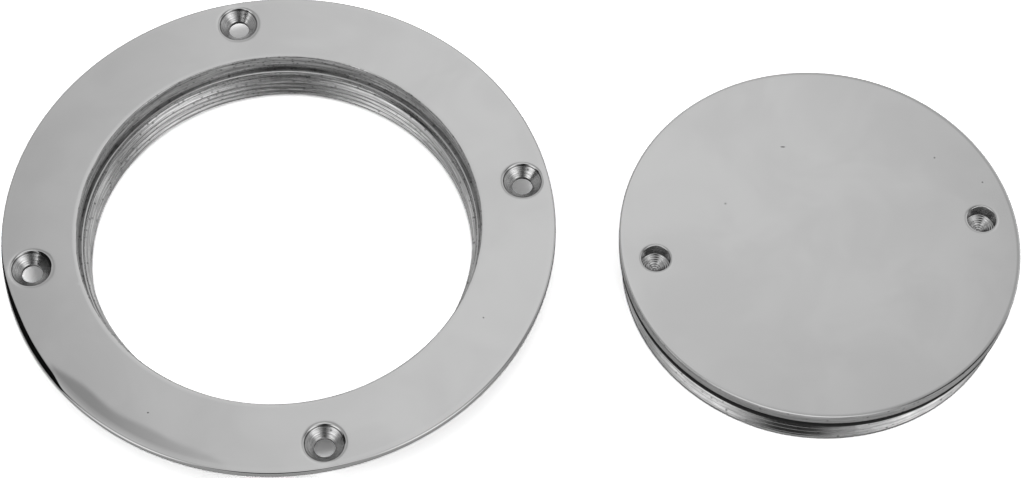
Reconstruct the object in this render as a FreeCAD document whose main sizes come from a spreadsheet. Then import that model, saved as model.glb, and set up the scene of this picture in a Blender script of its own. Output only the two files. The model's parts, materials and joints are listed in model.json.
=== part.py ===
"""Deck inspection plate: a flush ring that is screwed to a deck, and the threaded lid that closes it.

The lid is unscrewed and lies beside the ring on the same surface. Sizes are in millimetres and degrees, with +Z up.
The origin is on the ring's axis, in the plane where its flange meets the deck. The thread's own ridges aren't cut
here: along the thread, the bore and the lid's skirt stand at its root, so that the lid passes down into the ring.
"""
import FreeCAD, Part
import os
import re
import Sketcher

SIZES = {
    # The ring: the recess that the lid sinks into, the flange around it and the spigot that goes through the deck
    "recess_diameter": 102.1,
    "recess_depth": 5.4,
    "recess_lip": 0.25,
    "ledge_width": 0.95,
    "relief_length": 1.5,
    "relief_step": 0.3,
    "bore_chamfer": 0.3,
    "flange_width": 18.95,
    "flange_thickness": 3.5,
    "flange_top_bevel": 0.9,
    "flange_low_bevel": 1.7,
    "spigot_wall": 4.7,
    "spigot_length": 11.5,
    "spigot_chamfer": 1.0,
    # The countersunk screws that hold the ring down, evenly spaced on one circle inside the flange's edge
    "screw_count": 4,
    "screw_inset": 7.0,
    "screw_hole": 5.3,
    "screw_head": 10.2,
    "screw_head_angle": 90.0,
    "screw_turn": 13.5,
    # The thread that the ring's bore and the lid share
    "thread_pitch": 1.8,
    "thread_flank": 30.0,
    "thread_clearance": 0.2,
    # The lid's rim, which fills the recess, its neck, which carries the seal, and its threaded skirt
    "lid_gap": 0.2,
    "lid_height": 14.2,
    "lid_chamfer": 0.3,
    "rim_thickness": 3.2,
    "rim_chamfer": 0.3,
    "neck_spare": 0.2,
    "plain_band": 1.35,
    "skirt_wall": 5.0,
    "plate_thickness": 4.8,
    "pocket_bevel": 2.0,
    "lid_clearance": 16.05,
    # The blind holes that a key turns the lid by, inside the lid's edge, each with a boss around it under the lid
    "key_count": 2,
    "key_inset": 8.7,
    "key_hole": 7.4,
    "key_depth": 4.0,
    "key_point_angle": 118.0,
    "key_lip": 0.3,
    "key_boss_wall": 1.8,
    "key_boss_floor": 2.0,
    "key_turn": 9.5,
    # The rubber ring on the lid's neck, square in section, with its two outer corners bevelled
    "seal_section": 3.0,
    "seal_bevel": 0.9,
    "seal_inset": 0.15,
    "seal_fit": 0.05,
    # How far a cutting profile runs past the face that it opens
    "cut_past": 1.0,
}

# Sizes that follow from those above, so that the pieces keep fitting each other. The thread's ridges are 5/8 of a
# sharp one in height, as on an ordinary metric thread.
DERIVED = {
    "recess_radius": "recess_diameter / 2",
    "flange_radius": "recess_radius + flange_width",
    "ledge_height": "flange_thickness - recess_depth",
    "relief_radius": "recess_radius - ledge_width",
    "relief_end": "ledge_height - relief_length",
    "bore_root": "relief_radius - relief_step",
    "spigot_radius": "bore_root + spigot_wall",
    "screw_place": "flange_radius - screw_inset",
    "screw_cone": "(screw_head - screw_hole) / 2 / tan(screw_head_angle / 2)",
    "lid_crest": "bore_root - thread_clearance",
    "lid_root": "lid_crest - thread_pitch * 5 / 16 / tan(thread_flank)",
    "lid_radius": "recess_radius - lid_gap",
    "lid_place": "flange_radius + lid_clearance + lid_radius",
    "seal_outside": "lid_radius - seal_inset",
    "seal_inside": "seal_outside - seal_section",
    "neck_radius": "seal_inside - seal_fit",
    "neck_top": "lid_height - rim_thickness",
    "seal_top": "neck_top - seal_fit",
    "seal_bottom": "seal_top - seal_section",
    "neck_end": "neck_top - seal_section - neck_spare",
    "skirt_inside": "lid_root - skirt_wall",
    "plate_under": "lid_height - plate_thickness",
    "key_place": "lid_radius - key_inset",
    "key_floor": "lid_height - key_depth",
    "key_point": "key_floor - key_hole / 2 / tan(key_point_angle / 2)",
    "key_boss_radius": "key_hole / 2 + key_boss_wall",
    "key_boss_end": "key_point - key_boss_floor",
    "key_boss_root": "plate_under + plate_thickness / 2",
}

doc = FreeCAD.newDocument("deck_inspection_plate")
sheet = doc.addObject("Spreadsheet::Sheet", "sizes")
formulas = {name: "=" + formula for name, formula in DERIVED.items()}
for row, (name, value) in enumerate({**SIZES, **formulas}.items(), start=1):
    sheet.set(f"A{row}", name)
    sheet.set(f"B{row}", str(value))
    sheet.setAlias(f"B{row}", name)
doc.recompute()


def linked(formula):
    """The formula with each size in it named as other objects name it. Every size has an underscore in its name."""
    return re.sub(r"[a-z]+(_[a-z]+)+", lambda word: "sizes." + word.group(), formula)


def number(formula):
    return float(sheet.evalExpression(linked(formula)))


def bind(item, **formulas):
    """Ties properties of an object to formulas in the sheet's sizes. A double underscore stands for a dot."""
    for name, formula in formulas.items():
        item.setExpression(name.replace("__", "."), linked(formula))


def origin_feature(body, role):
    return next(item for item in body.Origin.OriginFeatures if item.Role == role)


def outline(body, name, points):
    """A closed sketch in the body's XZ plane, of straight lines between (across, up) formulas of sizes."""
    sketch = body.newObject("Sketcher::SketchObject", name)
    sketch.AttachmentSupport = [(origin_feature(body, "XZ_Plane"), "")]
    sketch.MapMode = "FlatFace"
    corners = [FreeCAD.Vector(number(across), number(up), 0) for across, up in points]
    for start, end in zip(corners, corners[1:] + corners[:1]):
        sketch.addGeometry(Part.LineSegment(start, end), False)
    last = len(points) - 1
    for line, place in enumerate(points):
        sketch.addConstraint(Sketcher.Constraint("Coincident", line - 1 if line else last, 2, line, 1))
        for kind, formula in zip(("DistanceX", "DistanceY"), place):
            held = sketch.addConstraint(Sketcher.Constraint(kind, -1, 1, line, 1, number(formula)))
            sketch.setExpression(f"Constraints[{held}]", linked(formula))
    return sketch


def turned(body, kind, name, sketch):
    """A sketch turned once round its own upright axis, which adds or cuts as the kind of feature says."""
    feature = body.newObject("PartDesign::" + kind, name)
    feature.Profile = sketch
    feature.ReferenceAxis = (sketch, ["V_Axis"])
    feature.Angle = 360
    doc.recompute()
    return feature


def repeated(body, name, features, count):
    """The features again at even steps round the body's own Z axis."""
    pattern = body.newObject("PartDesign::PolarPattern", name)
    pattern.Originals = features
    pattern.Axis = (origin_feature(body, "Z_Axis"), [""])
    pattern.Angle = 360
    bind(pattern, Occurrences=count)
    body.Tip = pattern
    doc.recompute()
    return pattern


def ring():
    """The deck ring: flange, spigot, recess with its ledge, bore and screw holes."""
    body = doc.addObject("PartDesign::Body", "deck_ring")
    section = outline(body, "ring_section", [
        ("recess_radius + recess_lip", "flange_thickness"),
        ("flange_radius - flange_top_bevel", "flange_thickness"),
        ("flange_radius", "flange_thickness - flange_top_bevel"),
        ("flange_radius", "flange_low_bevel"),
        ("flange_radius - flange_low_bevel", "0"),
        ("spigot_radius", "0"),
        ("spigot_radius", "spigot_chamfer - spigot_length"),
        ("spigot_radius - spigot_chamfer", "-spigot_length"),
        ("bore_root + bore_chamfer", "-spigot_length"),
        ("bore_root", "bore_chamfer - spigot_length"),
        ("bore_root", "relief_end - relief_step"),
        ("relief_radius", "relief_end"),
        ("relief_radius", "ledge_height"),
        ("recess_radius", "ledge_height"),
        ("recess_radius", "flange_thickness - recess_lip"),
    ])
    turned(body, "Revolution", "ring_blank", section)
    hole_outline = outline(body, "screw_hole_outline", [
        ("0", "-cut_past"),
        ("screw_hole / 2", "-cut_past"),
        ("screw_hole / 2", "flange_thickness - screw_cone"),
        ("screw_head / 2", "flange_thickness"),
        ("screw_head / 2", "flange_thickness + cut_past"),
        ("0", "flange_thickness + cut_past"),
    ])
    bind(hole_outline, AttachmentOffset__Base__x="screw_place")
    hole = turned(body, "Groove", "screw_hole_cut", hole_outline)
    repeated(body, "screw_holes", [hole], "screw_count")
    bind(body, Placement__Rotation__Angle="screw_turn")
    return body


def lid():
    """The lid, from its own lower end up: skirt, neck, rim, and the key holes in their bosses."""
    body = doc.addObject("PartDesign::Body", "screw_lid")
    section = outline(body, "lid_section", [
        ("0", "plate_under"),
        ("skirt_inside - pocket_bevel", "plate_under"),
        ("skirt_inside", "plate_under - pocket_bevel"),
        ("skirt_inside", "0"),
        ("lid_crest - lid_chamfer", "0"),
        ("lid_crest", "lid_chamfer"),
        ("lid_crest", "plain_band"),
        ("lid_root", "plain_band + (lid_crest - lid_root) * tan(thread_flank)"),
        ("lid_root", "neck_end - (lid_root - neck_radius) * tan(thread_flank)"),
        ("neck_radius", "neck_end"),
        ("neck_radius", "neck_top"),
        ("lid_radius", "neck_top"),
        ("lid_radius", "lid_height - rim_chamfer"),
        ("lid_radius - rim_chamfer", "lid_height"),
        ("0", "lid_height"),
    ])
    turned(body, "Revolution", "lid_blank", section)
    boss_outline = outline(body, "key_boss_outline", [
        ("0", "key_boss_end"),
        ("key_boss_radius", "key_boss_end"),
        ("key_boss_radius", "key_boss_root"),
        ("0", "key_boss_root"),
    ])
    bind(boss_outline, AttachmentOffset__Base__x="key_place")
    boss = turned(body, "Revolution", "key_boss", boss_outline)
    hole_outline = outline(body, "key_hole_outline", [
        ("0", "key_point"),
        ("key_hole / 2", "key_floor"),
        ("key_hole / 2", "lid_height - key_lip"),
        ("key_hole / 2 + key_lip", "lid_height"),
        ("key_hole / 2 + key_lip", "lid_height + cut_past"),
        ("0", "lid_height + cut_past"),
    ])
    bind(hole_outline, AttachmentOffset__Base__x="key_place")
    hole = turned(body, "Groove", "key_hole_cut", hole_outline)
    repeated(body, "key_holes", [boss, hole], "key_count")
    bind(body, Placement__Base__x="lid_place", Placement__Base__z="-spigot_length")
    bind(body, Placement__Rotation__Angle="key_turn")
    return body


def seal():
    """The rubber ring on the lid's neck, close under the rim, with its heights in the lid's own frame."""
    body = doc.addObject("PartDesign::Body", "lid_seal")
    section = outline(body, "seal_section_outline", [
        ("seal_inside", "seal_bottom"),
        ("seal_outside - seal_bevel", "seal_bottom"),
        ("seal_outside", "seal_bottom + seal_bevel"),
        ("seal_outside", "seal_top - seal_bevel"),
        ("seal_outside - seal_bevel", "seal_top"),
        ("seal_inside", "seal_top"),
    ])
    turned(body, "Revolution", "seal_ring", section)
    bind(body, Placement__Base__x="lid_place", Placement__Base__z="-spigot_length")
    return body


pieces = [ring(), lid(), seal()]
doc.recompute()

for item in doc.Objects:
    if "Invalid" in item.State or "Error" in item.State:
        raise RuntimeError(f"{item.Label} failed: {item.State}")
for piece in pieces:
    if piece.Shape.isNull() or not piece.Shape.isValid() or len(piece.Shape.Solids) != 1:
        raise RuntimeError(f"{piece.Label} is not one valid solid")

os.makedirs("parts", exist_ok=True)
for piece in pieces:
    piece.Shape.exportStep(f"parts/{piece.Label}.step")
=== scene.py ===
"""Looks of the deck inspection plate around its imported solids: a flush ring, its unscrewed lid and the seal."""

import bmesh
import bpy
import json
from math import atan, atan2, cos, pi, radians, sin, tan, tau
from mathutils import Matrix, Vector


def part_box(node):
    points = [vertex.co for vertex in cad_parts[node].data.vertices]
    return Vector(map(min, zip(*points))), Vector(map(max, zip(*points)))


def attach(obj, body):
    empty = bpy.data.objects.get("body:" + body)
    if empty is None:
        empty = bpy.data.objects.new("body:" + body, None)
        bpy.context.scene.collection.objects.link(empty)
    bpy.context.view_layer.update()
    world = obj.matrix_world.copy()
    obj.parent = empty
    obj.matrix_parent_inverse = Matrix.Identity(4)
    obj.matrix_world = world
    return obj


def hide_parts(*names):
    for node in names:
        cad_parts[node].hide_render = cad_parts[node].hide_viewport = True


bl_info = {
    "name": "Deck inspection plate",
    "version": (1, 0, 0),
    "blender": (4, 5, 0),
    "location": "View3D > Sidebar > Deck plate",
    "description": "Builds a polished deck ring with its threaded lid and seal, and a plain stage for them",
    "category": "Object",
}

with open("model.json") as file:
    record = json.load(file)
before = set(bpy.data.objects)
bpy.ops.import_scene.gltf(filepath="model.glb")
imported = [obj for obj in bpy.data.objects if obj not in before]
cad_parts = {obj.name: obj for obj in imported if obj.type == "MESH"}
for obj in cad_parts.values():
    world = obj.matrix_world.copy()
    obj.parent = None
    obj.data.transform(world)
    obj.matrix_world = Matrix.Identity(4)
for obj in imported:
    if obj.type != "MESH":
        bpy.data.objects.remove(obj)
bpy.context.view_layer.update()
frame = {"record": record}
MM = 0.001
BODY = "root"

MOUNTS = {mount["name"]: mount["dims"] for mount in frame["record"]["mounts"]}
RING_LOW, RING_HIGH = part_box("deck_ring")
LID_LOW, LID_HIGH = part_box("screw_lid")
SEAL_LOW, SEAL_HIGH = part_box("lid_seal")
RING_AXIS = Vector((0, 0, 0))
LID_AXIS = Vector(((LID_LOW.x + LID_HIGH.x) / 2, (LID_LOW.y + LID_HIGH.y) / 2, 0))
TABLE_HEIGHT = RING_LOW.z

# Under the ring's flange: the middle of the painted shade's outer border and of its inner one, on the table
PAINTED_SHADE_CENTRE = (0, 7.5 * MM, TABLE_HEIGHT)
PAINTED_SHADE_HOLLOW = (0, 0, TABLE_HEIGHT)

# Steps round a turned piece and round a small one, and along a rounded corner
TURN_STEPS = 384
SMALL_STEPS = 64
CORNER_STEPS = 6
SHARP_ANGLE = radians(28)

# Rounding of an edge that is only just blunt
BLUNT = 0.05 * MM

# The patch of a face round a hole: how far it reaches across and in steps each way, and its rows of faces, from its
# border at 1 to the hole's edge at 0
SCREW_PATCH = (6.4 * MM, 9, (0.85, 0.7, 0.56, 0.45, 0.35, 0.26, 0.18, 0.11, 0.05, 0))
SOCKET_PATCH = (5.6 * MM, 8, (0.7, 0.5, 0.36, 0.26, 0.18, 0.11, 0.05, 0))
SCREW_FOOT_PATCH = (4 * MM, 6, (0.6, 0.3, 0.1, 0))

# Rings that the drill left in a hole's cone: their spacing and their depth
SCREW_DRILL = (0.45 * MM, 0.011 * MM)
SOCKET_DRILL = (0.62 * MM, 0.036 * MM)

# The name of the attribute by which the materials find a piece's turning axis
TURNED_PLACE = "turned_place"


def size(name, description, millimetres):
    return bpy.props.FloatProperty(name=name, description=description, default=millimetres * MM, unit="LENGTH")


def angle(name, description, degrees):
    return bpy.props.FloatProperty(name=name, description=description, default=radians(degrees), subtype="ANGLE")


def share(name, description, value):
    return bpy.props.FloatProperty(name=name, description=description, default=value, min=0, max=1, subtype="FACTOR")


def tone(name, description, grey):
    return bpy.props.FloatVectorProperty(
        name=name, description=description, default=(grey, grey, grey), subtype="COLOR", min=0, max=1)


# Nicks in the polished faces: place in millimetres from the axis, and how much longer than wide
RING_NICKS = ((-28.5, -54.3, 1.3), (52.3, -25.7, 1.0))
LID_NICKS = ((-8.5, 27.3, 3.2), (-23.7, 9.7, 1.2), (30.6, 25.1, 1.2), (42.5, 18.0, 1.2))


class RingSizes(bpy.types.PropertyGroup):
    recess_radius: size("Recess radius", "Radius of the wall round the lid's rim", 51.05)
    recess_depth: size("Recess depth", "From the ring's face down to the ledge", 5.4)
    recess_lip: size("Recess lip", "Rounding of the recess's upper edge", 0.3)
    ledge_bevel: size("Ledge bevel", "Width of the bevel along the ledge's inner edge", 0.32)
    ledge_drop: size("Ledge drop", "How far that bevel falls", 0.09)
    relief_radius: size("Relief radius", "Radius of the plain wall under the ledge", 50.1)
    relief_end: size("Relief end", "From the ring's face down to the start of the thread", 6.9)
    bore_radius: size("Bore radius", "Radius at the root of the ring's thread", 49.8)
    bore_chamfer: size("Bore chamfer", "Chamfer at the foot of the bore", 0.3)
    edge_round: size("Edge round", "Rounding of the flange's upper edge where it is buffed most", 1.55)
    keen_share: share("Keen share", "The edge's rounding where it is least, as a share of where it is most", 0.3)
    buffed_start: angle("Buffed start", "Turn at which the edge starts to be rounded more", 188)
    buffed_full: angle("Buffed full", "Turn from which it is rounded most", 206)
    buffed_end: angle("Buffed end", "Turn by which it is keen again", 225)
    buffed_fall: angle("Buffed fall", "How far before that turn it starts to be rounded less", 6)
    worn_turn: angle("Worn turn", "Middle of the stretch where the face is rubbed down along the edge", 240)
    worn_reach: angle("Worn reach", "From the middle of that stretch to its ends", 25)
    worn_width: size("Worn width", "How far in from the edge the face is rubbed down", 4.9)
    worn_slope: angle("Worn slope", "How steeply the face falls there", 2.2)
    low_bevel: size("Low bevel", "Bevel of the flange's lower edge", 1.7)
    spigot_chamfer: size("Spigot chamfer", "Chamfer at the foot of the spigot", 1.0)
    spigot_corner: size("Spigot corner", "Rounding where the spigot meets the flange", 0.8)
    screw_turn: angle("Screw turn", "Where the first screw hole stands", 13.5)
    head_radius: size("Countersink radius", "Radius of a countersink at the face", 5.1)
    head_lip: size("Countersink lip", "Rounding of a countersink's edge", 0.7)
    head_dish: size("Countersink dish", "How far the face dips towards a countersink", 0.06)
    head_dish_width: size("Countersink dish width", "Width of the dipped band around a countersink", 0.7)


class LidSizes(bpy.types.PropertyGroup):
    rim_thickness: size("Rim thickness", "Height of the lid's rim", 3.2)
    rim_round: size("Rim round", "Rounding of the rim's upper edge", 0.1)
    rim_bevel: size("Rim bevel", "Width of the bevel along the lid's face", 0.28)
    rim_bevel_drop: size("Rim bevel drop", "How far that bevel falls", 0.08)
    neck_radius: size("Neck radius", "Radius of the neck that carries the seal", 47.65)
    neck_end: size("Neck end", "From the lid's foot up to the lower end of the neck", 7.8)
    band_radius: size("Band radius", "Radius of the plain band at the lid's foot", 49.6)
    band_height: size("Band height", "Height of the plain band at the lid's foot", 1.35)
    root_radius: size("Thread root radius", "Radius at the root of the lid's thread", 48.626)
    skirt_inside: size("Skirt inside", "Radius inside the skirt", 43.626)
    foot_chamfer: size("Foot chamfer", "Chamfer at the lid's foot", 0.3)
    plate_thickness: size("Plate thickness", "Thickness of the lid's plate", 4.8)
    pocket_bevel: size("Pocket bevel", "Bevel at the top of the hollow under the lid", 2.0)
    socket_depth: size("Socket depth", "Depth of a key socket's straight wall", 4.0)
    socket_point: size("Socket point", "Depth of the drill's cone below the straight wall", 2.22)
    socket_lip: size("Socket lip", "Rounding of a key socket's edge", 0.2)
    socket_dish: size("Socket dish", "How far the face dips towards a key socket", 0.06)
    socket_dish_width: size("Socket dish width", "Width of the dipped band around a key socket", 0.6)
    socket_turn: angle("Socket turn", "Where the first key socket stands", 9.5)
    boss_radius: size("Boss radius", "Radius of the boss around a key socket", 5.5)
    boss_end: size("Boss end", "From the lid's foot up to a boss's lower end", 5.98)


class ThreadSizes(bpy.types.PropertyGroup):
    pitch: size("Pitch", "Rise of the thread in one turn", 1.8)
    depth: size("Depth", "Height of the thread's ridge", 0.974)


class Finish(bpy.types.PropertyGroup):
    steel: tone("Steel", "Colour of the steel", 0.60)
    rubber: tone("Rubber", "Colour of the seal", 0.012)
    face_roughness: share("Face roughness", "Roughness of the buffed faces", 0.11)
    edge_roughness: share("Edge roughness", "Roughness of the buffed edge of the ring", 0.05)
    wall_roughness: share("Wall roughness", "Roughness of the turned walls", 0.3)


class Stage(bpy.types.PropertyGroup):
    lens: bpy.props.FloatProperty(name="Lens", description="Focal length of the camera", default=95.876, unit="CAMERA")
    elevation: angle("Elevation", "How far above the table the camera stands", 59.33)
    azimuth: angle("Azimuth", "How far the camera is turned round the part", -0.255)
    roll: angle("Roll", "How far the camera is tilted to one side", 1.6)
    distance: size("Distance", "From the camera to the point that it looks at", 688.84)
    aim: bpy.props.FloatVectorProperty(
        name="Aim", description="The point that the camera looks at",
        default=(58.94 * MM, -2.81 * MM, 3.5 * MM), subtype="TRANSLATION", unit="LENGTH")


PROPERTY_GROUPS = {
    "plate_ring": RingSizes,
    "plate_lid": LidSizes,
    "plate_thread": ThreadSizes,
    "plate_finish": Finish,
    "plate_stage": Stage,
}


def rounded(corners):
    """Points of an outline of (across, up, radius) corners, with an arc of that radius at each corner but the ends."""
    points = []
    for index, (across, up, radius) in enumerate(corners):
        here = Vector((across, up))
        if radius == 0 or index in (0, len(corners) - 1):
            points.append(here)
            continue
        back = (Vector(corners[index - 1][:2]) - here).normalized()
        ahead = (Vector(corners[index + 1][:2]) - here).normalized()
        half = back.angle(ahead) / 2
        centre = here + (back + ahead).normalized() * (radius / sin(half))
        start = here + back * (radius / tan(half)) - centre
        end = here + ahead * (radius / tan(half)) - centre
        sweep = atan2(start.cross(end), start.dot(end))
        for step in range(CORNER_STEPS + 1):
            turn = sweep * step / CORNER_STEPS
            points.append(centre + Vector((
                start.x * cos(turn) - start.y * sin(turn), start.x * sin(turn) + start.y * cos(turn))))
    return points


class Shell:
    """A mesh in the making. Each face has the number of its material in the piece's list.

    The attribute TURNED_PLACE of its corners is their place in millimetres from the axis that they are turned on.
    """

    def __init__(self, axis):
        self.mesh = bmesh.new()
        self.axis = axis
        self.turned_place = self.mesh.loops.layers.float_vector.new(TURNED_PLACE)

    def face(self, corners, material, axis=None):
        made = self.mesh.faces.new(corners)
        made.material_index = material
        made.smooth = True
        centre = axis or self.axis
        for corner in made.loops:
            place = corner.vert.co
            corner[self.turned_place] = ((place.x - centre.x) / MM, (place.y - centre.y) / MM, place.z / MM)

    def circle(self, centre, radius, height, steps=TURN_STEPS):
        row = []
        for step in range(steps):
            turn = tau * step / steps
            row.append(self.mesh.verts.new((centre.x + radius * cos(turn), centre.y + radius * sin(turn), height)))
        return row

    def strip(self, first, second, material, axis=None):
        """Faces between two closed rows of as many points."""
        for index, point in enumerate(first):
            after = (index + 1) % len(first)
            self.face((point, first[after], second[after], second[index]), material, axis)

    def cap(self, row, centre, height, material):
        """Faces that close a row at one point."""
        tip = self.mesh.verts.new((centre.x, centre.y, height))
        for index, point in enumerate(row):
            self.face((point, row[(index + 1) % len(row)], tip), material, centre)

    def turn(self, points, material, centre=None, steps=TURN_STEPS):
        """An outline of (across, up) points turned round an upright axis. It gives back the rows of points."""
        rows = [self.circle(centre or self.axis, across, up, steps) for across, up in points]
        for first, second in zip(rows, rows[1:]):
            self.strip(first, second, material)
        return rows

    def drilled_face(self, radii, height, holes, radius, patch, material):
        """A face between circles, with holes of one radius. It gives back the points round each hole.

        A hole is given by its step and its centre. Rows of faces run from the border of its patch to the hole, so
        that no long thin faces meet there.
        """
        _, reach, blends = patch
        grid = [self.circle(self.axis, across, 0) for across in radii]
        for row in grid:
            for point in row:
                point.co.z = height(point.co)
        covered = set()
        edges = []
        for middle, hole in holes:
            steps = [(middle + offset) % TURN_STEPS for offset in range(-reach, reach + 1)]
            covered.update(steps[:-1])
            border = [grid[0][step] for step in steps[:-1]]
            border += [row[steps[-1]] for row in grid[:-1]]
            border += [grid[-1][step] for step in reversed(steps[1:])]
            border += [row[steps[0]] for row in reversed(grid[1:])]
            last = border
            for blend in blends:
                inner = []
                for point in border:
                    at_hole = hole + (point.co.xy - hole).normalized() * radius
                    place = at_hole.lerp(point.co.xy, blend)
                    inner.append(self.mesh.verts.new((*place, height(place))))
                self.strip(last, inner, material)
                last = inner
            edges.append(last)
        for first, second in zip(grid, grid[1:]):
            for step in range(TURN_STEPS):
                if step not in covered:
                    after = (step + 1) % TURN_STEPS
                    self.face((first[step], first[after], second[after], second[step]), material)
        return edges

    def down_hole(self, edge, hole, rows, material):
        """Carries a hole's edge on through (radius, height) rows, and gives back the last row."""
        ways = [(point.co.xy - hole).normalized() for point in edge]
        last = edge
        for radius, height in rows:
            row = [self.mesh.verts.new((*(hole + way * radius), height)) for way in ways]
            self.strip(last, row, material, hole)
            last = row
        return last

    def join(self, first, second, material):
        """Faces between two closed rows that differ in their number of points."""
        pairs = [(row[index - 1], row[index]) for row in (first, second) for index in range(len(row))]
        edges = [self.mesh.edges.get(pair) for pair in pairs]
        for made in bmesh.ops.bridge_loops(self.mesh, edges=edges)["faces"]:
            made.material_index = material
            made.smooth = True

    def piece(self, name, materials):
        """The finished object. Points that share a place become one, faces look outwards, sharp edges stay sharp."""
        bmesh.ops.remove_doubles(self.mesh, verts=self.mesh.verts, dist=0.001 * MM)
        bmesh.ops.recalc_face_normals(self.mesh, faces=self.mesh.faces)
        if self.mesh.calc_volume(signed=True) < 0:
            bmesh.ops.reverse_faces(self.mesh, faces=self.mesh.faces)
        data = bpy.data.meshes.new(name)
        self.mesh.to_mesh(data)
        self.mesh.free()
        data.set_sharp_from_angle(angle=SHARP_ANGLE)
        return place_in_scene(name, data, materials)


def linked(name, data):
    """A new object in the scene."""
    made = bpy.data.objects.new(name, data)
    bpy.context.scene.collection.objects.link(made)
    return made


def place_in_scene(name, data, materials):
    """An object for a mesh whose place is in its points."""
    for material in materials:
        data.materials.append(material)
    return linked(name, data)


def drilled_holes(name, axis, turn):
    """The radius of a mount's circle, that of its holes, and the step and the place of each from a first turn on."""
    mount = MOUNTS[name]
    radius = mount["pcd_mm"] / 2 * MM
    places = []
    for index in range(mount["count"]):
        here = turn + tau * index / mount["count"]
        step = round(here / tau * TURN_STEPS) % TURN_STEPS
        places.append((step, Vector((axis.x + radius * cos(here), axis.y + radius * sin(here)))))
    return radius, mount["hole_r_mm"] * MM, places


def spread(first, last, count):
    """Evenly spaced numbers from the first to the last."""
    return [first + (last - first) * index / count for index in range(count + 1)]


def dip(place, holes, radius, depth, width):
    """How far a face dips at a place towards the edge of the nearest hole."""
    off = min((place - hole).length for _, hole in holes) - radius
    return depth * (1 - min(max(off / width, 0), 1)) ** 3


def drill_marks(start, end, rings):
    """Points down a drilled cone, with the fine rings that the drill leaves, four rows to a ring."""
    spacing, depth = rings
    start = Vector(start)
    end = Vector(end)
    run = end - start
    count = 4 * max(1, round(run.length / spacing))
    across = Vector((run.y, -run.x)).normalized()
    points = [start + run * (row / count) + across * (depth * sin(row * pi / 2)) for row in range(count)]
    return [*points, end]


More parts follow.
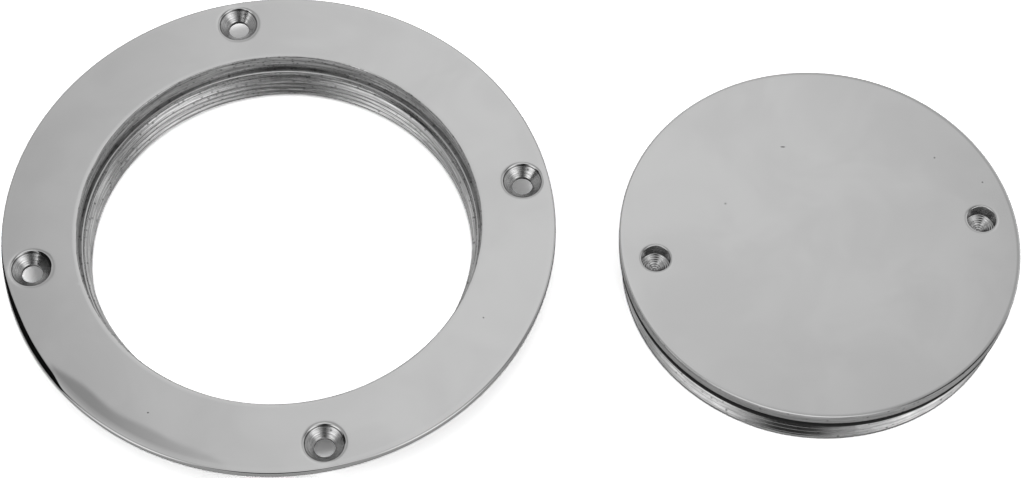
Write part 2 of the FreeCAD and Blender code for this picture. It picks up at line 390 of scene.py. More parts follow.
def build_ring(sizes, materials):
    face, edge, wall, under, head, corner = range(6)
    top = RING_HIGH.z
    foot = RING_LOW.z
    outside = RING_HIGH.x
    screw_circle, screw_radius, screws = drilled_holes("screw_holes", RING_AXIS, sizes.screw_turn)
    spigot = MOUNTS["spigot"]["r_mm"] * MM
    ledge = top - sizes.recess_depth
    relief_end = top - sizes.relief_end
    relief_step = sizes.relief_radius - sizes.bore_radius
    edge_flat = 0.1 * MM
    face_outside = outside - sizes.edge_round - edge_flat
    face_inside = sizes.recess_radius + sizes.recess_lip
    lip_slope = 3 * sizes.head_dish / sizes.head_dish_width
    lip_width = sizes.head_lip * tan((pi / 4 - atan(lip_slope)) / 2)
    lip_radius = sizes.head_radius + lip_width

    def edge_share(way):
        """The edge's rounding at a turn, as a share of its most."""
        turn = atan2(way.y, way.x) % tau
        rising = (turn - sizes.buffed_start) / (sizes.buffed_full - sizes.buffed_start)
        falling = (sizes.buffed_end - turn) / sizes.buffed_fall
        buffed = min(max(min(rising, falling), 0), 1)
        return sizes.keen_share + (1 - sizes.keen_share) * buffed * buffed * (3 - 2 * buffed)

    def face_height(place):
        """The face's height. It is less at the holes and where the face is rubbed down, up to a wavy border."""
        across = Vector(place[:2])
        away = (atan2(across.y, across.x) % tau - sizes.worn_turn) / sizes.worn_reach
        waviness = 1 + 0.07 * sin(9 * away)
        worn_start = outside - sizes.worn_width * max(0, 1 - away ** 4) * waviness
        worn_share = 0.75 - 0.35 * away
        lowered = tan(sizes.worn_slope) * worn_share * max(0, min(across.length, face_outside) - worn_start)
        return top - lowered - dip(across, screws, lip_radius, sizes.head_dish, sizes.head_dish_width)

    shell = Shell(RING_AXIS)
    patch_start = screw_circle - SCREW_PATCH[0]
    radii = spread(face_inside, patch_start, 5)[:-1] + spread(patch_start, face_outside, 18)
    lips = shell.drilled_face(radii, face_height, screws, lip_radius, SCREW_PATCH, face)
    under_outside = screw_circle + SCREW_FOOT_PATCH[0]
    under_inside = spigot + 1.5 * MM
    edge_rows = shell.turn(rounded([
        (face_outside, top, 0),
        (face_outside + edge_flat / 2, top, 0),
        (outside, top, sizes.edge_round),
        (outside, sizes.low_bevel, 0.3 * MM),
        (outside - sizes.low_bevel, 0, 0.3 * MM),
        (under_outside, 0, 0),
    ]), edge)
    round_end = next(index for index, row in enumerate(edge_rows) if row[0].co.x > outside - 0.001 * MM)
    for index, row in enumerate(edge_rows):
        for point in row:
            way = point.co.xy.normalized()
            if 0 < index <= round_end:
                rounding = edge_share(way)
                point.co.xy = way * (outside - (outside - point.co.xy.length) * rounding)
                point.co.z = top - (top - point.co.z) * rounding
            if point.co.z > sizes.low_bevel:
                near_face = (point.co.z - sizes.low_bevel) / (top - sizes.low_bevel)
                point.co.z -= (top - face_height(way * face_outside)) * near_face
    lower_lips = shell.drilled_face(
        spread(under_outside, under_inside, 8), lambda place: 0, screws, screw_radius, SCREW_FOOT_PATCH, under)
    for (_, screw), lip, lower_lip in zip(screws, lips, lower_lips):
        lip_height = top - sizes.head_dish
        corner_height = lip_height - lip_width * lip_slope
        cone_end = corner_height - (sizes.head_radius - screw_radius)
        lip_arc = rounded([
            (lip_radius + lip_width, lip_height + lip_width * lip_slope, 0),
            (sizes.head_radius, corner_height, sizes.head_lip),
            (screw_radius, cone_end, 0),
        ])[2:-1]
        cone = drill_marks(lip_arc[-1], (screw_radius, cone_end), SCREW_DRILL)
        lip_end = shell.down_hole(lip, screw, lip_arc, edge)
        wall_end = shell.down_hole(lip_end, screw, [*cone[1:], (screw_radius, 0.2 * MM)], head)
        shell.join(wall_end, lower_lip, head)
    shell.turn(rounded([
        (under_inside, 0, 0),
        (spigot, 0, sizes.spigot_corner),
        (spigot, foot + sizes.spigot_chamfer, 0.2 * MM),
        (spigot - sizes.spigot_chamfer, foot, 0.2 * MM),
        (sizes.bore_radius + sizes.bore_chamfer, foot, BLUNT),
        (sizes.bore_radius, foot + sizes.bore_chamfer, 0),
    ]), under)
    shell.turn(rounded([
        (sizes.bore_radius, foot + sizes.bore_chamfer, 0),
        (sizes.bore_radius, relief_end - relief_step, BLUNT),
        (sizes.relief_radius, relief_end, BLUNT),
        (sizes.relief_radius, ledge - sizes.ledge_drop, 0),
    ]), wall)
    bevel_end = (sizes.relief_radius + sizes.ledge_bevel, ledge)
    shell.turn([(sizes.relief_radius, ledge - sizes.ledge_drop), bevel_end], edge)
    # The ledge takes the darker steel: painted shade at the foot of the recess
    shell.turn([bevel_end, (sizes.recess_radius, ledge)], corner)
    shell.turn(rounded([
        (sizes.recess_radius, ledge, 0),
        (sizes.recess_radius, top, sizes.recess_lip),
        (face_inside, top, 0),
    ]), wall)
    return shell.piece("deck_ring_polished", materials)


def build_lid(sizes, materials):
    face, edge, groove, wall, under, socket = range(6)
    top = LID_HIGH.z
    foot = LID_LOW.z
    outside = (LID_HIGH.x - LID_LOW.x) / 2
    socket_circle, socket_radius, sockets = drilled_holes("key_sockets", LID_AXIS, sizes.socket_turn)
    neck_top = top - sizes.rim_thickness
    neck_end = foot + sizes.neck_end
    flank = tan(radians(30))
    root_top = neck_end - (sizes.root_radius - sizes.neck_radius) * flank
    band_top = foot + sizes.band_height
    ceiling = top - sizes.plate_thickness
    boss_end = foot + sizes.boss_end
    hollow = sizes.skirt_inside - sizes.pocket_bevel
    shell = Shell(LID_AXIS)
    patch_start = socket_circle - SOCKET_PATCH[0]
    patch_end = socket_circle + SOCKET_PATCH[0]
    innermost = 4 * MM
    centre_rows = shell.turn([(radius, top) for radius in spread(innermost, patch_start, 8)], face)
    shell.cap(centre_rows[0], LID_AXIS, top, face)
    lip_radius = socket_radius + sizes.socket_lip

    def face_height(place):
        return top - dip(Vector(place[:2]), sockets, lip_radius, sizes.socket_dish, sizes.socket_dish_width)

    lips = shell.drilled_face(
        spread(patch_start, patch_end, 14), face_height, sockets, lip_radius, SOCKET_PATCH, face)
    face_outside = outside - sizes.rim_round
    rim_height = top - sizes.rim_bevel_drop
    rim_slope = sizes.rim_bevel_drop / sizes.rim_bevel
    bevel_start = face_outside - sizes.rim_bevel
    crease = 0.03 * MM
    flat = [(radius, top) for radius in spread(patch_end, bevel_start - crease, 4)]
    bevel = [(bevel_start + crease, top - crease * rim_slope), (face_outside, rim_height)]
    shell.turn([*flat, *bevel], face)
    shell.turn(rounded([
        (face_outside, rim_height, 0),
        (outside, rim_height - sizes.rim_round * rim_slope, sizes.rim_round),
        (outside, neck_top, 0.25 * MM),
        (sizes.neck_radius, neck_top, 0),
    ]), edge)
    band_start = (sizes.root_radius, band_top + (sizes.band_radius - sizes.root_radius) * flank, 0)
    # The neck and the thread's root take the dark steel: painted shade under the rim
    shell.turn(rounded([
        (sizes.neck_radius, neck_top, 0),
        (sizes.neck_radius, neck_end, 0.1 * MM),
        (sizes.root_radius, root_top, 0.1 * MM),
        band_start,
    ]), groove)
    shell.turn(rounded([
        band_start,
        (sizes.band_radius, band_top, 0.15 * MM),
        (sizes.band_radius, foot + sizes.foot_chamfer, 0.1 * MM),
        (sizes.band_radius - sizes.foot_chamfer, foot, 0.1 * MM),
        (sizes.skirt_inside, foot, 0),
    ]), wall)
    for (_, place), lip in zip(sockets, lips):
        lip_height = top - sizes.socket_dish
        cone_start = top - sizes.socket_depth
        socket_wall = rounded([
            (lip_radius, lip_height, 0),
            (socket_radius, lip_height - sizes.socket_lip * 0.3, sizes.socket_lip),
            (socket_radius, cone_start, 0),
        ])[1:-1]
        tip = (0.2 * MM, cone_start - sizes.socket_point * 0.95)
        cone = drill_marks((socket_radius, cone_start), tip, SOCKET_DRILL)
        lip_end = shell.down_hole(lip, place, socket_wall, face)
        tip_row = shell.down_hole(lip_end, place, cone, socket)
        shell.cap(tip_row, place, cone_start - sizes.socket_point, socket)

    # The ceiling under the lid is lowered inside each boss, so that it passes below the point of the socket
    ceiling_outline = [(sizes.skirt_inside, foot), (sizes.skirt_inside, ceiling - sizes.pocket_bevel)]
    ceiling_outline += [(hollow + part, ceiling - part) for part in spread(sizes.pocket_bevel, 0, 4)[1:]]
    ceiling_outline += [(radius, ceiling) for radius in spread(hollow, patch_start, 8)[1:] + [24 * MM, innermost]]
    ceiling_rows = shell.turn(ceiling_outline, under)
    shell.cap(ceiling_rows[-1], LID_AXIS, ceiling, under)
    for row in ceiling_rows:
        for point in row:
            for _, place in sockets:
                if (point.co.xy - place).length < sizes.boss_radius * 0.8:
                    point.co.z = min(point.co.z, boss_end + 0.3 * MM)
    for _, place in sockets:
        cup_wall = sizes.boss_radius * 0.85
        boss_wall = sizes.boss_radius * 0.98
        cup_floor = boss_end + 0.5 * MM
        cup = shell.turn(rounded([
            (2 * MM, cup_floor, 0),
            (cup_wall, cup_floor, 0),
            (cup_wall, ceiling + 0.5 * MM, 0),
            (boss_wall, ceiling + 0.5 * MM, 0),
            (boss_wall, boss_end, 0.5 * MM),
            (2 * MM, boss_end, 0),
        ]), under, place, SMALL_STEPS)
        shell.cap(cup[0], place, cup_floor, under)
        shell.cap(cup[-1], place, boss_end, under)
    return shell.piece("screw_lid_polished", materials)


def build_seal(materials):
    outside = (SEAL_HIGH.x - SEAL_LOW.x) / 2
    inside = outside - (SEAL_HIGH.z - SEAL_LOW.z)
    middle = (SEAL_LOW.z + SEAL_HIGH.z) / 2
    shell = Shell(LID_AXIS)
    shell.turn(rounded([
        (inside, middle, 0),
        (inside, SEAL_LOW.z, 0.3 * MM),
        (outside, SEAL_LOW.z, 1.3 * MM),
        (outside, SEAL_HIGH.z, 1.3 * MM),
        (inside, SEAL_HIGH.z, 0.3 * MM),
        (inside, middle, 0),
    ]), 0)
    return shell.piece("seal_rubber_ring", materials)


class Wiring:
    """Adds nodes to a tree. Each input is given as a plain value or as the output that feeds it."""

    def __init__(self, tree):
        self.tree = tree

    def feed(self, socket, value):
        if isinstance(value, bpy.types.NodeSocket):
            self.tree.links.new(value, socket)
        else:
            socket.default_value = value

    def node(self, kind, inputs=None, **settings):
        made = self.tree.nodes.new(kind)
        for name, value in settings.items():
            setattr(made, name, value)
        for name, value in (inputs or {}).items():
            self.feed(made.inputs[name], value)
        return made

    def add(self, kind, inputs=None, **settings):
        """The first output of a new node."""
        return self.node(kind, inputs, **settings).outputs[0]

    def group(self, name, inputs):
        """The outputs of a node group that more than one material uses."""
        return self.node("ShaderNodeGroup", inputs, node_tree=shared_group(name)).outputs

    def math(self, operation, first, second, clamp=False):
        return self.add("ShaderNodeMath", {0: first, 1: second}, operation=operation, use_clamp=clamp)

    def vector(self, operation, *values, scale=None):
        """The result of a vector operation, which is a number where it measures something."""
        inputs = dict(enumerate(values))
        if scale is not None:
            inputs["Scale"] = scale
        outputs = self.node("ShaderNodeVectorMath", inputs, operation=operation).outputs
        return outputs["Value" if operation in ("LENGTH", "DISTANCE", "DOT_PRODUCT") else "Vector"]

    def ramp(self, value, low, high, to_low=0.0, to_high=1.0, smooth=True):
        """A value moved from one range to another, and kept inside it."""
        inputs = {"Value": value, "From Min": low, "From Max": high, "To Min": to_low, "To Max": to_high}
        return self.add("ShaderNodeMapRange", inputs, interpolation_type="SMOOTHSTEP" if smooth else "LINEAR")

    def noise(self, place, scale, detail, roughness=0.5, distortion=0.0):
        return self.add("ShaderNodeTexNoise", {
            "Vector": place, "Scale": scale, "Detail": detail, "Roughness": roughness, "Distortion": distortion})


def new_group(name, kind, inputs, outputs):
    """A node group with named inputs and outputs: its wiring, and the sockets at its two ends.

    An input is given with its value, which tells its kind: a number, a vector, or None for a material.
    """
    tree = bpy.data.node_groups.new(name, kind)
    for label, value in inputs.items():
        socket = {float: "Float", tuple: "Vector"}.get(type(value), "Material")
        made = tree.interface.new_socket(label, in_out="INPUT", socket_type="NodeSocket" + socket)
        if value is not None:
            made.default_value = value
    for label, socket in outputs.items():
        tree.interface.new_socket(label, in_out="OUTPUT", socket_type="NodeSocket" + socket)
    wires = Wiring(tree)
    return wires, wires.node("NodeGroupInput").outputs, wires.node("NodeGroupOutput").inputs


def thread_tree():
    """A ridge wound round an upright axis, which fades away at its upper end and has closed ends."""
    wires, given, out = new_group("Thread ridge", "GeometryNodeTree", {
        "Radius": 50 * MM, "Pitch": 1.8 * MM, "Turns": 4.0, "Depth": 1 * MM, "Base width": 1.5 * MM,
        "Crest width": 0.3 * MM, "Start": (0.0, 0.0, 0.0), "Start turn": 0.0, "Facing": 0.0, "Fade": 0.1,
        "Material": None,
    }, {"Geometry": "Geometry"})
    spiral = wires.add("GeometryNodeCurveSpiral", {
        "Resolution": 240, "Rotations": given["Turns"], "Start Radius": given["Radius"], "End Radius": given["Radius"],
        "Height": wires.math("MULTIPLY", given["Pitch"], given["Turns"]), "Reverse": True,
    })
    placed = wires.add("GeometryNodeTransform", {
        "Geometry": wires.add("GeometryNodeSetCurveNormal", {"Curve": spiral}, mode="Z_UP"),
        "Translation": given["Start"],
        "Rotation": wires.add("ShaderNodeCombineXYZ", {"Z": given["Start turn"]}),
    })
    section = wires.add("GeometryNodeCurvePrimitiveQuadrilateral", {
        "Height": given["Depth"], "Bottom Width": given["Base width"], "Top Width": given["Crest width"],
        "Offset": 0.0,
    }, mode="TRAPEZOID")
    raised = wires.add("GeometryNodeTransform", {
        "Geometry": section,
        "Translation": wires.add("ShaderNodeCombineXYZ", {"Y": wires.math("MULTIPLY", given["Depth"], 0.5)}),
    })
    facing = wires.add("GeometryNodeTransform", {
        "Geometry": raised, "Rotation": wires.add("ShaderNodeCombineXYZ", {"Z": given["Facing"]}),
    })
    left = wires.math("SUBTRACT", 1.0, wires.add("GeometryNodeSplineParameter"))
    ridge = wires.add("GeometryNodeCurveToMesh", {
        "Curve": placed, "Profile Curve": facing, "Scale": wires.math("DIVIDE", left, given["Fade"], clamp=True),
        "Fill Caps": True,
    })
    real = wires.add("GeometryNodeRealizeInstances", {"Geometry": ridge})
    painted = wires.add("GeometryNodeSetMaterial", {"Geometry": real, "Material": given["Material"]})
    wires.feed(out["Geometry"], painted)
    return wires.tree


def wound_ridge(name, tree, material, values):
    """A plain mesh of the ridge, cut off at the table."""
    carrier = linked(name + "_path", bpy.data.meshes.new(name + "_path"))
    modifier = carrier.modifiers.new("Thread ridge", "NODES")
    modifier.node_group = tree
    sockets = {item.name: item.identifier for item in tree.interface.items_tree if item.in_out == "INPUT"}
    for label, value in {**values, "Material": material}.items():
        modifier[sockets[label]] = value
    bpy.context.view_layer.update()
    evaluated = carrier.evaluated_get(bpy.context.evaluated_depsgraph_get())
    data = bpy.data.meshes.new_from_object(evaluated)
    bpy.data.objects.remove(carrier)
    mesh = bmesh.new()
    mesh.from_mesh(data)
    cut = bmesh.ops.bisect_plane(
        mesh, geom=[*mesh.verts, *mesh.edges, *mesh.faces], plane_co=(0, 0, TABLE_HEIGHT), plane_no=(0, 0, 1),
        clear_inner=True)
    edges = [part for part in cut["geom_cut"] if isinstance(part, bmesh.types.BMEdge)]
    if edges:
        bmesh.ops.holes_fill(mesh, edges=edges)
    bmesh.ops.recalc_face_normals(mesh, faces=mesh.faces)
    for face in mesh.faces:
        face.smooth = True
    mesh.to_mesh(data)
    mesh.free()
    data.name = name
    data.set_sharp_from_angle(angle=SHARP_ANGLE)
    return place_in_scene(name, data, [])


def build_threads(sizes, ring_sizes, lid_sizes, ring_steel, lid_steel):
    """The two ridges of the right-hand thread: inwards in the ring's bore, outwards on the lid's skirt."""
    tree = thread_tree()
    flank = tan(radians(30))
    buried = 0.06 * MM
    height = sizes.depth + buried

    def ridge(name, steel, axis, radius, crest, turns, end_turn, seen_turn, seen_height, facing, fade):
        """A ridge that ends at one turn, with its last turn's height given at another."""
        end = seen_height + sizes.pitch * (end_turn - seen_turn) / tau
        return wound_ridge(name, tree, steel, {
            "Radius": radius, "Pitch": sizes.pitch, "Turns": turns, "Depth": height,
            "Base width": crest + 2 * height * flank, "Crest width": crest,
            "Start": (axis.x, axis.y, end - turns * sizes.pitch), "Start turn": end_turn - turns * tau,
            "Facing": facing, "Fade": fade,
        })

    # Each ridge ends on the side where the photograph shows its last turn fade away
    ring_ridge = ridge(
        "ring_thread_ridge", ring_steel, RING_AXIS, ring_sizes.bore_radius + buried, sizes.pitch / 4,
        turns=4.8, end_turn=radians(275), seen_turn=pi / 2, seen_height=RING_HIGH.z - 8.4 * MM,
        facing=radians(90), fade=0.03)
    lid_ridge = ridge(
        "lid_thread_ridge", lid_steel, LID_AXIS, lid_sizes.root_radius - buried, sizes.pitch / 8,
        turns=3.5, end_turn=radians(70), seen_turn=radians(-95), seen_height=LID_LOW.z + 5.75 * MM,
        facing=radians(-90), fade=0.05)
    return ring_ridge, lid_ridge


def turning_marks(name):
    """Fine grooves round an axis, as a lathe's tool leaves them, each fading after a while along its way."""
    wires, given, out = new_group(name, "ShaderNodeTree", {
        "Place": (0.0, 0.0, 0.0), "Marks in a millimetre": 4.0, "Change along": 0.1,
    }, {"Fine": "Float", "Broad": "Float"})
    axes = wires.node("ShaderNodeSeparateXYZ", {0: given["Place"]}).outputs
    flat = wires.add("ShaderNodeCombineXYZ", {"X": axes["X"], "Y": axes["Y"]})
    profile = wires.math("ADD", wires.vector("LENGTH", flat), axes["Z"])
    across = wires.math("MULTIPLY", profile, given["Marks in a millimetre"])
    along = wires.vector("SCALE", flat, scale=given["Change along"])
    marks = wires.vector("ADD", along, wires.add("ShaderNodeCombineXYZ", {"Z": across}))
    wires.feed(out["Fine"], wires.noise(marks, 1.0, 3.0, 0.65))
    wires.feed(out["Broad"], wires.noise(marks, 0.3, 2.0))
    return wires.tree


def buffed_surface(name):
    """Hairlines from a buffing wheel in two directions, over faint broad smudges."""
    wires, given, out = new_group(name, "ShaderNodeTree", {
        "Place": (0.0, 0.0, 0.0), "Direction": 0.3,
    }, {"Hairlines": "Float", "Smudges": "Float"})
    turned = wires.add("ShaderNodeVectorRotate", {
        "Vector": given["Place"], "Angle": given["Direction"]}, rotation_type="Z_AXIS")
    lines = []
    for stretch, weight in (((0.05, 3.2, 1.0), 0.7), ((2.1, 0.11, 1.0), 0.3)):
        line = wires.noise(wires.vector("MULTIPLY", turned, stretch), 1.0, 2.0)
        lines.append(wires.math("MULTIPLY", line, weight))
    wires.feed(out["Hairlines"], wires.math("ADD", *lines))
    wires.feed(out["Smudges"], wires.noise(given["Place"], 0.045, 3.0, 0.55, 0.6))
    return wires.tree


def pits(name):
    """Scattered small pits, as a mask that is 1 in a pit."""
    wires, given, out = new_group(name, "ShaderNodeTree", {
        "Place": (0.0, 0.0, 0.0), "Pits in a millimetre": 0.5, "Size": 0.1, "Share of places": 0.2,
    }, {"Pit": "Float"})
    cells = wires.node("ShaderNodeTexVoronoi", {
        "Vector": given["Place"], "Scale": given["Pits in a millimetre"], "Randomness": 1.0}, feature="F1").outputs
    spot = wires.ramp(cells["Distance"], 0.0, given["Size"], 1.0, 0.0)
    lot = wires.add("ShaderNodeSeparateColor", {0: cells["Color"]})
    chosen = wires.math("LESS_THAN", lot, given["Share of places"])
    wires.feed(out["Pit"], wires.math("MULTIPLY", spot, chosen))
    return wires.tree


SHARED_GROUPS = {"Turning marks": turning_marks, "Buffed surface": buffed_surface, "Pits": pits}


def shared_group(name):
    """One of the shared groups, made the first time that it is asked for."""
    return bpy.data.node_groups.get(name) or SHARED_GROUPS[name](name)


def bare_tree(owner):
    """The wiring of a new material or world, without the nodes that it comes with."""
    owner.use_nodes = True
    owner.node_tree.nodes.clear()
    return Wiring(owner.node_tree)


def new_material(name):
    """A material with one Principled shader, of which the inputs are given back."""
    material = bpy.data.materials.new(name)
    wires = bare_tree(material)
    shader = wires.node("ShaderNodeBsdfPrincipled")
    wires.node("ShaderNodeOutputMaterial", {"Surface": shader.outputs[0]})
    return material, wires, shader.inputs


def dress(wires, surface, colour, factor, roughness, height, strength=1.0):
    """Feeds a shader with a grey colour times a factor, a roughness and the height of its bumps in millimetres."""
    bump = wires.add("ShaderNodeBump", {"Strength": strength, "Distance": MM, "Height": height})
    wires.feed(surface["Base Color"], wires.vector("SCALE", tuple(colour), scale=factor))
    wires.feed(surface["Roughness"], roughness)
    wires.feed(surface["Normal"], bump)


def turned_place(wires, axis=None):
    """A point of the surface in millimetres from an axis, or from the axis that a turned piece's face has."""
    if axis is None:
        return wires.node("ShaderNodeAttribute", attribute_name=TURNED_PLACE).outputs["Vector"]
    place = wires.node("ShaderNodeTexCoord").outputs["Object"]
    return wires.vector("SCALE", wires.vector("SUBTRACT", place, tuple(axis)), scale=1 / MM)


def polished_steel(name, finish, roughness, nick_places=()):
    """A buffed face: hairlines and smudges over the last of the turning marks, with a few nicks."""
    material, wires, surface = new_material(name)
    place = turned_place(wires)
    buffed = wires.group("Buffed surface", {"Place": place, "Direction": 0.25})
    turned = wires.group("Turning marks", {"Place": place, "Marks in a millimetre": 3.0, "Change along": 0.02})
    factor = wires.ramp(buffed["Smudges"], 0.3, 0.7, 0.97, 1.02)
    for across, up, length in nick_places:
        off = wires.vector("SUBTRACT", place, (across, up, 0))
        far = wires.vector("LENGTH", wires.vector("MULTIPLY", off, (1 / length, 1, 0)))
        factor = wires.math("MULTIPLY", factor, wires.ramp(far, 0.1, 0.26, 0.25, 1.0))
    surface["Metallic"].default_value = 1.0
    rough = wires.ramp(buffed["Smudges"], 0.25, 0.75, roughness * 1.15, roughness * 0.88)
    depths = [wires.math("MULTIPLY", marks, 0.0006) for marks in (buffed["Hairlines"], turned["Fine"])]
    dress(wires, surface, finish.steel, factor, rough, wires.math("ADD", *depths))
    return material


# How turned walls look: grey, roughness (None for the one in Finish), marks in a millimetre, their contrast, their
# depth in millimetres, how soon they change along their way, and the share of places with a pit
TURNED_LOOKS = {
    "ring_wall": (0.92, 0.2, 4.2, 0.46, 0.04, 0.15, 1.0),
    "ring_under": (0.85, None, 2.0, 0.1, 0.02, 0.12, 0.2),
    "ring_countersink": (0.98, 0.22, 3.4, 0.24, 0.03, 0.3, 0.2),
    # The ledge's low grey is painted shade at the foot of the recess
    "ring_ledge_shaded": (0.42, 0.3, 4.2, 0.4, 0.03, 0.15, 1.0),
    "ring_thread": (1.0, 0.18, 4.0, 0.3, 0.03, 0.15, 0.5),
    "lid_rim": (0.95, 0.16, 3.6, 0.28, 0.012, 0.12, 0.4),
    # The neck's and thread root's low grey is painted shade under the rim
    "lid_groove_shaded": (0.12, 0.3, 4.0, 0.3, 0.02, 0.2, 0.3),
    "lid_wall": (1.0, 0.2, 4.0, 0.22, 0.02, 0.2, 0.3),
    "lid_under": (0.85, None, 2.0, 0.1, 0.02, 0.12, 0.2),
    "lid_socket": (0.85, 0.15, 2.5, 0.2, 0.01, 0.3, 0.2),
    "lid_thread": (1.05, 0.14, 4.0, 0.18, 0.02, 0.2, 0.3),
}


def turned_steel(part, finish, axis=None, edge_shade_radius=None):
    """A wall as it left the lathe: fine grooves, with bands where the tool bit differently, and a few pits.

    The edge shade radius is the radius in millimetres of a drilled hole's edge, inside which a dark line of painted
    shade runs.
    """
    grey, roughness, marks, contrast, depth, along, pit_share = TURNED_LOOKS[part]
    roughness = roughness or finish.wall_roughness
    material, wires, surface = new_material(part + "_steel")
    place = turned_place(wires, axis)
    turned = wires.group("Turning marks", {"Place": place, "Marks in a millimetre": marks, "Change along": along})
    spots = wires.group("Pits", {
        "Place": place, "Pits in a millimetre": 0.8, "Size": 0.4, "Share of places": pit_share})
    fine = wires.ramp(turned["Fine"], 0.3, 0.7, grey * (1 - contrast), grey * (1 + contrast))
    broad = wires.ramp(turned["Broad"], 0.3, 0.7, 1 - contrast, 1 + contrast * 0.5)
    pit = wires.ramp(spots["Pit"], 0, 1, 1.0, 0.3, smooth=False)
    factor = wires.math("MULTIPLY", wires.math("MULTIPLY", fine, broad), pit)
    if edge_shade_radius is not None:
        # A dark line of painted shade just inside the hole's edge
        radius = wires.vector("LENGTH", wires.vector("MULTIPLY", place, (1, 1, 0)))
        factor = wires.math("MULTIPLY", factor, wires.ramp(radius, edge_shade_radius - 0.5, edge_shade_radius - 0.36, 1.0, 0.3))
    surface["Metallic"].default_value = 1.0
    rough = wires.ramp(turned["Broad"], 0.3, 0.7, roughness * 1.2, roughness * 0.85)
    dress(wires, surface, finish.steel, factor, rough, wires.math("MULTIPLY", turned["Fine"], depth))
    return material


def rubber(name, axis, finish):
    """Dull rubber with a fine grain and paler clouds."""
    material, wires, surface = new_material(name)
    place = turned_place(wires, axis)
    cloud = wires.noise(place, 0.8, 4.0)
    grain = wires.math("MULTIPLY", wires.noise(place, 9.0, 3.0), 0.02)
    surface["Specular IOR Level"].default_value = 0.15
    dress(wires, surface, finish.rubber, wires.ramp(cloud, 0.3, 0.7, 0.7, 1.5), wires.ramp(cloud, 0.3, 0.7, 0.42, 0.6),
          grain, 0.5)
    return material


def matt_material(name, colour):
    """A matt material. A function of its wiring gives its colour."""
    material = bpy.data.materials.new(name)
    wires = bare_tree(material)
    matt = wires.add("ShaderNodeBsdfDiffuse", {"Color": colour(wires)})
    wires.node("ShaderNodeOutputMaterial", {"Surface": matt})
    return material


def table_white(wires):
    """White that the camera sees as bright as the background, with painted shade under the flange and at the foot of
    the bore.
    """
    place = wires.node("ShaderNodeTexCoord").outputs["Object"]
    # Painted shade: the table's colour darkens towards the ring, under the flange and inside the foot of the bore
    outside = wires.ramp(wires.vector("DISTANCE", place, PAINTED_SHADE_CENTRE), 64 * MM, 69 * MM)
    inside = wires.ramp(wires.vector("DISTANCE", place, PAINTED_SHADE_HOLLOW), 51 * MM, 47.5 * MM)
    painted_shade = wires.ramp(wires.math("MAXIMUM", outside, inside), 0, 1, 0.38, 1.0, smooth=False)
    seen = wires.node("ShaderNodeLightPath").outputs["Is Camera Ray"]
    grey = wires.math("MULTIPLY", wires.ramp(seen, 0, 1, 0.7, 2.8, smooth=False), painted_shade)
    return wires.add("ShaderNodeCombineXYZ", {0: grey, 1: grey, 2: grey})


# The studio's bright and dark lobes: turn, height, inner and outer reach in degrees, and gain
STUDIO_LOBES = (
    (88.5, 59, 0, 14.5, 0.44),
    (80, 63, 1, 5, -0.1),
    (-90, 84, 5, 20, 0.65),
    (120, 64, 1, 6, -0.16),
    (146, 62, 5, 17, 0.06),
    (40, 30, 10, 34, 0.3),
    (90, 24, 10, 28, 0.25),
    (142, 30, 10, 34, 0.14),
    (-103, 58, 8, 21, -0.45),
    (14, 60, 7, 15, -0.45),
    (-90, 30, 6, 18, -0.45),
    (214, 52, 5, 24, 0.55),
    (220, 25, 8, 26, 1.0),
    (-27, 52, 5, 24, 0.6),
    (-40, 25, 8, 26, 1.0),
)

# Corners in millimetres of the black card left of the ring, out of the picture, which shows in the ring's edge
BLACK_CARD = ((-100, 6, 2), (-100, 6, 112), (-100, -62, 125), (-100, -62, -6), (-100, -20, -6))


def studio_world():
    """A soft surround with bright and dark lobes, as steel mirrors them. The camera sees plain white."""
    world = bpy.data.worlds.new("studio")
    wires = bare_tree(world)
    way = wires.node("ShaderNodeTexCoord").outputs["Generated"]
    height = wires.node("ShaderNodeSeparateXYZ", {0: way}).outputs["Z"]
    light = wires.ramp(height, -0.1, 0.75, 0.36, 0.47)
    for turn, rise, inner, outer, gain in STUDIO_LOBES:
        level = cos(radians(rise))
        middle = (cos(radians(turn)) * level, sin(radians(turn)) * level, sin(radians(rise)))
        near = wires.vector("DOT_PRODUCT", way, middle)
        lobe = wires.ramp(near, cos(radians(outer)), cos(radians(inner)), 0.0, gain)
        light = wires.math("ADD", light, lobe)
    light = wires.math("MAXIMUM", light, 0.02)
    seen = wires.node("ShaderNodeLightPath").outputs["Is Camera Ray"]
    strength = wires.add("ShaderNodeMix", {0: seen, 2: light, 3: 1.0})
    background = wires.add("ShaderNodeBackground", {"Color": (1, 1, 1, 1), "Strength": strength})
    wires.node("ShaderNodeOutputWorld", {"Surface": background})
    return world


def flat_sheet(name, corners, material):
    """One flat face between corners."""
    data = bpy.data.meshes.new(name)
    data.from_pydata(corners, [], [range(len(corners))])
    return place_in_scene(name, data, [material])


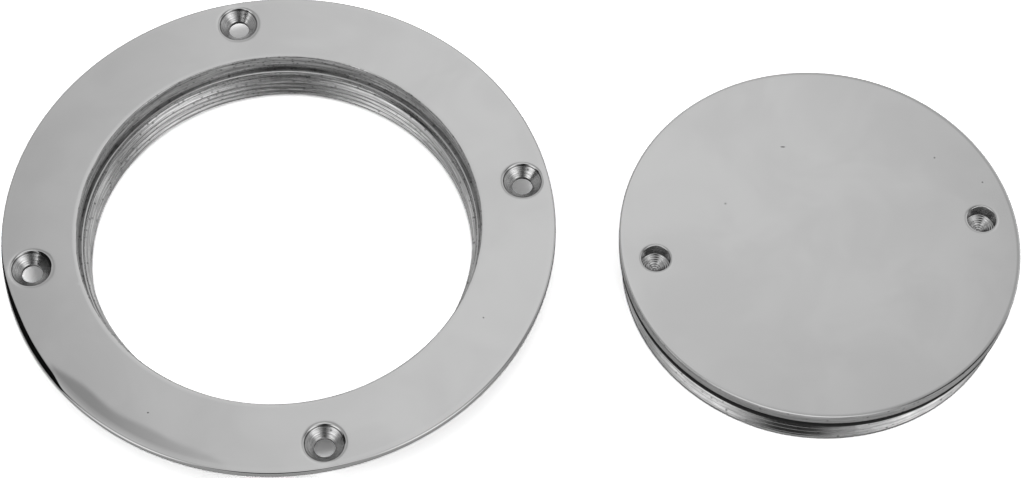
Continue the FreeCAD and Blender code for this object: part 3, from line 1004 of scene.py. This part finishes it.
def build_stage(sizes):
    scene = bpy.context.scene
    level = TABLE_HEIGHT - 0.02 * MM
    corners = [(across, along, level) for across, along in ((-4, -4), (4, -4), (4, 4), (-4, 4))]
    flat_sheet("table_top", corners, matt_material("white_table", table_white))
    card_black = matt_material("black_card", lambda wires: (0.01, 0.01, 0.01, 1))
    black_card = flat_sheet("black_card", [Vector(corner) * MM for corner in BLACK_CARD], card_black)
    black_card.visible_camera = False
    black_card.visible_diffuse = False
    black_card.visible_transmission = False
    black_card.visible_shadow = False
    scene.world = studio_world()
    scene.view_settings.view_transform = "Standard"

    data = bpy.data.lights.new("overhead_softbox", "AREA")
    data.shape = "RECTANGLE"
    data.size = 0.9
    data.size_y = 0.6
    data.energy = 1.5
    lamp = linked("overhead_softbox", data)
    lamp.location = (0.06, 0.3, 1.9)
    lamp.rotation_euler = (Vector((0.06, 0, 0)) - lamp.location).to_track_quat("-Z", "Y").to_euler()
    lamp.visible_glossy = False

    data = bpy.data.cameras.new("photo_camera")
    data.sensor_width = 36
    data.lens = sizes.lens
    data.clip_start = 0.01
    camera = linked("photo_camera", data)
    level = cos(sizes.elevation)
    back = Vector((sin(sizes.azimuth) * level, -cos(sizes.azimuth) * level, sin(sizes.elevation)))
    right = Vector((0, 0, 1)).cross(back).normalized()
    turned = Matrix((right, back.cross(right), back)).transposed() @ Matrix.Rotation(sizes.roll, 3, "Z")
    camera.matrix_world = Matrix.Translation(Vector(sizes.aim) + back * sizes.distance) @ turned.to_4x4()
    scene.camera = camera


def finish_piece(piece, slot, *nodes):
    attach(piece, BODY)
    if nodes:
        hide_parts(*nodes)


class PLATE_OT_ring(bpy.types.Operator):
    """Builds the polished deck ring with its recess, bore and countersunk screw holes"""
    bl_idname = "plate.build_ring"
    bl_label = "Deck ring"

    def execute(self, context):
        sizes = context.scene.plate_ring
        finish = context.scene.plate_finish
        materials = [
            polished_steel("ring_face_steel", finish, finish.face_roughness, RING_NICKS),
            polished_steel("ring_edge_steel", finish, finish.edge_roughness),
            turned_steel("ring_wall", finish),
            turned_steel("ring_under", finish),
            turned_steel("ring_countersink", finish, edge_shade_radius=sizes.head_radius / MM),
            turned_steel("ring_ledge_shaded", finish),
        ]
        finish_piece(build_ring(sizes, materials), "ring_steel", "deck_ring")
        return {"FINISHED"}


class PLATE_OT_lid(bpy.types.Operator):
    """Builds the polished lid with its rim, neck, skirt and drilled key sockets"""
    bl_idname = "plate.build_lid"
    bl_label = "Lid"

    def execute(self, context):
        finish = context.scene.plate_finish
        materials = [polished_steel("lid_face_steel", finish, finish.face_roughness, LID_NICKS)]
        parts = ("lid_rim", "lid_groove_shaded", "lid_wall", "lid_under", "lid_socket")
        materials += [turned_steel(part, finish) for part in parts]
        finish_piece(build_lid(context.scene.plate_lid, materials), "lid_steel", "screw_lid")
        return {"FINISHED"}


class PLATE_OT_seal(bpy.types.Operator):
    """Builds the rubber ring on the lid's neck"""
    bl_idname = "plate.build_seal"
    bl_label = "Seal"

    def execute(self, context):
        material = rubber("seal_rubber", LID_AXIS, context.scene.plate_finish)
        finish_piece(build_seal([material]), "seal_rubber", "lid_seal")
        return {"FINISHED"}


class PLATE_OT_threads(bpy.types.Operator):
    """Winds the thread's ridges into the ring's bore and round the lid's skirt"""
    bl_idname = "plate.build_threads"
    bl_label = "Threads"

    def execute(self, context):
        scene = context.scene
        ring_ridge, lid_ridge = build_threads(
            scene.plate_thread, scene.plate_ring, scene.plate_lid,
            turned_steel("ring_thread", scene.plate_finish, RING_AXIS),
            turned_steel("lid_thread", scene.plate_finish, LID_AXIS))
        finish_piece(ring_ridge, "ring_steel")
        finish_piece(lid_ridge, "lid_steel")
        return {"FINISHED"}


class PLATE_OT_stage(bpy.types.Operator):
    """Builds the table, the light and the camera"""
    bl_idname = "plate.build_stage"
    bl_label = "Stage"

    def execute(self, context):
        build_stage(context.scene.plate_stage)
        return {"FINISHED"}


OPERATORS = (PLATE_OT_ring, PLATE_OT_lid, PLATE_OT_seal, PLATE_OT_threads, PLATE_OT_stage)


class PLATE_PT_panel(bpy.types.Panel):
    bl_idname = "PLATE_PT_panel"
    bl_label = "Deck inspection plate"
    bl_space_type = "VIEW_3D"
    bl_region_type = "UI"
    bl_category = "Deck plate"

    def draw(self, context):
        for operator in OPERATORS:
            self.layout.operator(operator.bl_idname)
        for name in PROPERTY_GROUPS:
            values = getattr(context.scene, name)
            box = self.layout.box()
            for entry in values.__annotations__:
                box.prop(values, entry)


CLASSES = (*PROPERTY_GROUPS.values(), *OPERATORS, PLATE_PT_panel)


def register():
    for item in CLASSES:
        bpy.utils.register_class(item)
    for name, group in PROPERTY_GROUPS.items():
        setattr(bpy.types.Scene, name, bpy.props.PointerProperty(type=group))


def unregister():
    for name in PROPERTY_GROUPS:
        delattr(bpy.types.Scene, name)
    for item in reversed(CLASSES):
        bpy.utils.unregister_class(item)


def main():
    register()
    bpy.ops.plate.build_ring()
    bpy.ops.plate.build_lid()
    bpy.ops.plate.build_seal()
    bpy.ops.plate.build_threads()
    bpy.ops.plate.build_stage()


if __name__ == "__main__":
    main()
